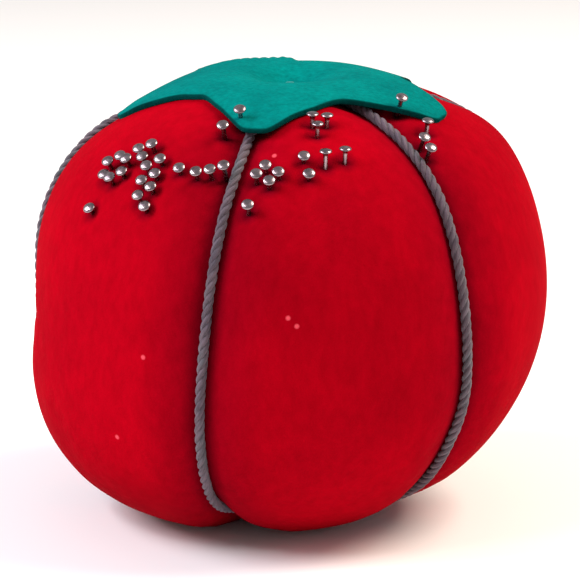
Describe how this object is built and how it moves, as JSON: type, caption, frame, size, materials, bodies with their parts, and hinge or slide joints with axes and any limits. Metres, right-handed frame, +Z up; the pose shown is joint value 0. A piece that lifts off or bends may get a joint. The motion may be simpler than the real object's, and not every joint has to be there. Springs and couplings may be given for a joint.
{
  "type": "tomato pincushion",
  "caption": "Round tomato-shaped pincushion: stuffed red cloth ball laced into lobes with cord, teal felt calyx on top, steel pins that slide in and out.",
  "frame": {"origin": "on the table under the middle of the cushion", "axes": "+Z up; the pinned front of the cushion faces -Y; +X to the right seen from the front"},
  "size_m": [0.0705, 0.0699, 0.0608],
  "materials": {
    "cover": "brushed cotton, soft nap",
    "stuffing": "packed wool",
    "cord": "twisted cotton cord",
    "thread": "sewing thread",
    "felt": "wool felt",
    "tack_thread": "sewing thread",
    "pin_steel": "polished steel"
  },
  "bodies": {
    "cushion": {"stuffing": "stuffing", "cover_panel_1": "cover", "cover_panel_2": "cover", "cover_panel_3": "cover", "cover_panel_4": "cover", "cover_panel_5": "cover", "cover_panel_6": "cover", "seam_stitching": "thread", "segment_cord_1": "cord", "segment_cord_2": "cord", "segment_cord_3": "cord", "segment_cord_4": "cord", "segment_cord_5": "cord", "segment_cord_6": "cord", "tie_knot": "cord", "calyx": "felt", "calyx_tack": "tack_thread"},
    "pin_01": {"pin_01": "pin_steel"},
    "pin_02": {"pin_02": "pin_steel"},
    "pin_03": {"pin_03": "pin_steel"},
    "pin_04": {"pin_04": "pin_steel"},
    "pin_05": {"pin_05": "pin_steel"},
    "pin_06": {"pin_06": "pin_steel"},
    "pin_07": {"pin_07": "pin_steel"},
    "pin_08": {"pin_08": "pin_steel"},
    "pin_09": {"pin_09": "pin_steel"},
    "pin_10": {"pin_10": "pin_steel"},
    "pin_11": {"pin_11": "pin_steel"},
    "pin_12": {"pin_12": "pin_steel"},
    "pin_13": {"pin_13": "pin_steel"},
    "pin_14": {"pin_14": "pin_steel"},
    "pin_15": {"pin_15": "pin_steel"},
    "pin_16": {"pin_16": "pin_steel"},
    "pin_17": {"pin_17": "pin_steel"},
    "pin_18": {"pin_18": "pin_steel"},
    "pin_19": {"pin_19": "pin_steel"},
    "pin_20": {"pin_20": "pin_steel"},
    "pin_21": {"pin_21": "pin_steel"},
    "pin_22": {"pin_22": "pin_steel"},
    "pin_23": {"pin_23": "pin_steel"},
    "pin_24": {"pin_24": "pin_steel"},
    "pin_25": {"pin_25": "pin_steel"},
    "pin_26": {"pin_26": "pin_steel"},
    "pin_27": {"pin_27": "pin_steel"},
    "pin_28": {"pin_28": "pin_steel"},
    "pin_29": {"pin_29": "pin_steel"},
    "pin_30": {"pin_30": "pin_steel"},
    "pin_31": {"pin_31": "pin_steel"},
    "pin_32": {"pin_32": "pin_steel"},
    "pin_33": {"pin_33": "pin_steel"},
    "pin_34": {"pin_34": "pin_steel"},
    "pin_35": {"pin_35": "pin_steel"},
    "pin_36": {"pin_36": "pin_steel"},
    "pin_37": {"pin_37": "pin_steel"},
    "pin_38": {"pin_38": "pin_steel"},
    "pin_39": {"pin_39": "pin_steel"}
  },
  "joints": [
    {"name": "pin_01_slide", "type": "slide", "parent": "cushion", "child": "pin_01", "axis": [-0.2915, -0.5474, 0.7845], "range_m": [-0.00015, 0.0238]},
    {"name": "pin_02_slide", "type": "slide", "parent": "cushion", "child": "pin_02", "axis": [-0.2915, -0.5474, 0.7845], "range_m": [-0.00045, 0.0235]},
    {"name": "pin_03_slide", "type": "slide", "parent": "cushion", "child": "pin_03", "axis": [-0.2915, -0.5474, 0.7845], "range_m": [-0.00015, 0.0238]},
    {"name": "pin_04_slide", "type": "slide", "parent": "cushion", "child": "pin_04", "axis": [-0.2915, -0.5474, 0.7845], "range_m": [-0.00045, 0.0235]},
    {"name": "pin_05_slide", "type": "slide", "parent": "cushion", "child": "pin_05", "axis": [-0.2915, -0.5474, 0.7845], "range_m": [-0.00015, 0.0238]},
    {"name": "pin_06_slide", "type": "slide", "parent": "cushion", "child": "pin_06", "axis": [-0.2915, -0.5474, 0.7845], "range_m": [-0.00045, 0.0235]},
    {"name": "pin_07_slide", "type": "slide", "parent": "cushion", "child": "pin_07", "axis": [-0.239, -0.5509, 0.7996], "range_m": [-0.00025, 0.0237]},
    {"name": "pin_08_slide", "type": "slide", "parent": "cushion", "child": "pin_08", "axis": [-0.239, -0.5509, 0.7996], "range_m": [-0.00015, 0.0238]},
    {"name": "pin_09_slide", "type": "slide", "parent": "cushion", "child": "pin_09", "axis": [-0.239, -0.5509, 0.7996], "range_m": [-0.00055, 0.0234]},
    {"name": "pin_10_slide", "type": "slide", "parent": "cushion", "child": "pin_10", "axis": [-0.2285, -0.5999, 0.7668], "range_m": [-0.00025, 0.0237]},
    {"name": "pin_11_slide", "type": "slide", "parent": "cushion", "child": "pin_11", "axis": [-0.2285, -0.5999, 0.7668], "range_m": [-0.00045, 0.0235]},
    {"name": "pin_12_slide", "type": "slide", "parent": "cushion", "child": "pin_12", "axis": [-0.2285, -0.5999, 0.7668], "range_m": [-0.00015, 0.0238]},
    {"name": "pin_13_slide", "type": "slide", "parent": "cushion", "child": "pin_13", "axis": [-0.2285, -0.5999, 0.7668], "range_m": [-0.00035, 0.0236]},
    {"name": "pin_14_slide", "type": "slide", "parent": "cushion", "child": "pin_14", "axis": [-0.2285, -0.5999, 0.7668], "range_m": [-0.00025, 0.0237]},
    {"name": "pin_15_slide", "type": "slide", "parent": "cushion", "child": "pin_15", "axis": [-0.2285, -0.5999, 0.7668], "range_m": [-0.00045, 0.0235]},
    {"name": "pin_16_slide", "type": "slide", "parent": "cushion", "child": "pin_16", "axis": [-0.2361, -0.6395, 0.7316], "range_m": [-0.00015, 0.0238]},
    {"name": "pin_17_slide", "type": "slide", "parent": "cushion", "child": "pin_17", "axis": [-0.1765, -0.6075, 0.7745], "range_m": [-0.00015, 0.0238]},
    {"name": "pin_18_slide", "type": "slide", "parent": "cushion", "child": "pin_18", "axis": [-0.343, -0.5818, 0.7375], "range_m": [-0.00015, 0.0238]},
    {"name": "pin_19_slide", "type": "slide", "parent": "cushion", "child": "pin_19", "axis": [-0.1062, -0.5563, 0.8242], "range_m": [-0.00075, 0.0232]},
    {"name": "pin_20_slide", "type": "slide", "parent": "cushion", "child": "pin_20", "axis": [-0.0789, -0.5356, 0.8408], "range_m": [-0.00015, 0.0225]},
    {"name": "pin_21_slide", "type": "slide", "parent": "cushion", "child": "pin_21", "axis": [-0.1235, -0.6249, 0.7709], "range_m": [-0.00025, 0.0237]},
    {"name": "pin_22_slide", "type": "slide", "parent": "cushion", "child": "pin_22", "axis": [-0.1235, -0.6249, 0.7709], "range_m": [-0.00015, 0.0238]},
    {"name": "pin_23_slide", "type": "slide", "parent": "cushion", "child": "pin_23", "axis": [-0.1235, -0.6249, 0.7709], "range_m": [-0.00045, 0.0235]},
    {"name": "pin_24_slide", "type": "slide", "parent": "cushion", "child": "pin_24", "axis": [-0.0353, -0.6451, 0.7633], "range_m": [-0.00025, 0.0237]},
    {"name": "pin_25_slide", "type": "slide", "parent": "cushion", "child": "pin_25", "axis": [-0.0353, -0.6451, 0.7633], "range_m": [-0.00015, 0.0238]},
    {"name": "pin_26_slide", "type": "slide", "parent": "cushion", "child": "pin_26", "axis": [-0.0353, -0.6451, 0.7633], "range_m": [-0.00035, 0.0236]},
    {"name": "pin_27_slide", "type": "slide", "parent": "cushion", "child": "pin_27", "axis": [-0.0353, -0.6451, 0.7633], "range_m": [-0.00045, 0.0235]},
    {"name": "pin_28_slide", "type": "slide", "parent": "cushion", "child": "pin_28", "axis": [-0.0657, -0.6847, 0.7259], "range_m": [-0.00055, 0.0234]},
    {"name": "pin_29_slide", "type": "slide", "parent": "cushion", "child": "pin_29", "axis": [0.0217, -0.6193, 0.7848], "range_m": [-0.00025, 0.0237]},
    {"name": "pin_30_slide", "type": "slide", "parent": "cushion", "child": "pin_30", "axis": [0.0294, -0.6455, 0.7632], "range_m": [-0.00025, 0.0237]},
    {"name": "pin_31_slide", "type": "slide", "parent": "cushion", "child": "pin_31", "axis": [0.0167, -0.1877, 0.9821], "range_m": [-0.00125, 0.0227]},
    {"name": "pin_32_slide", "type": "slide", "parent": "cushion", "child": "pin_32", "axis": [0.025, -0.1763, 0.984], "range_m": [-0.00095, 0.023]},
    {"name": "pin_33_slide", "type": "slide", "parent": "cushion", "child": "pin_33", "axis": [0.0129, -0.1462, 0.9892], "range_m": [-0.00075, 0.0232]},
    {"name": "pin_34_slide", "type": "slide", "parent": "cushion", "child": "pin_34", "axis": [0.0129, -0.1462, 0.9892], "range_m": [-0.00065, 0.0233]},
    {"name": "pin_35_slide", "type": "slide", "parent": "cushion", "child": "pin_35", "axis": [0.0132, -0.1726, 0.9849], "range_m": [-0.00085, 0.0231]},
    {"name": "pin_36_slide", "type": "slide", "parent": "cushion", "child": "pin_36", "axis": [0.1826, -0.4684, 0.8644], "range_m": [-0.00025, 0.0224]},
    {"name": "pin_37_slide", "type": "slide", "parent": "cushion", "child": "pin_37", "axis": [0.0958, -0.2089, 0.9732], "range_m": [-0.00065, 0.0233]},
    {"name": "pin_38_slide", "type": "slide", "parent": "cushion", "child": "pin_38", "axis": [0.2243, -0.542, 0.8099], "range_m": [-0.00025, 0.0237]},
    {"name": "pin_39_slide", "type": "slide", "parent": "cushion", "child": "pin_39", "axis": [0.2243, -0.542, 0.8099], "range_m": [-0.00025, 0.0237]}
  ]
}
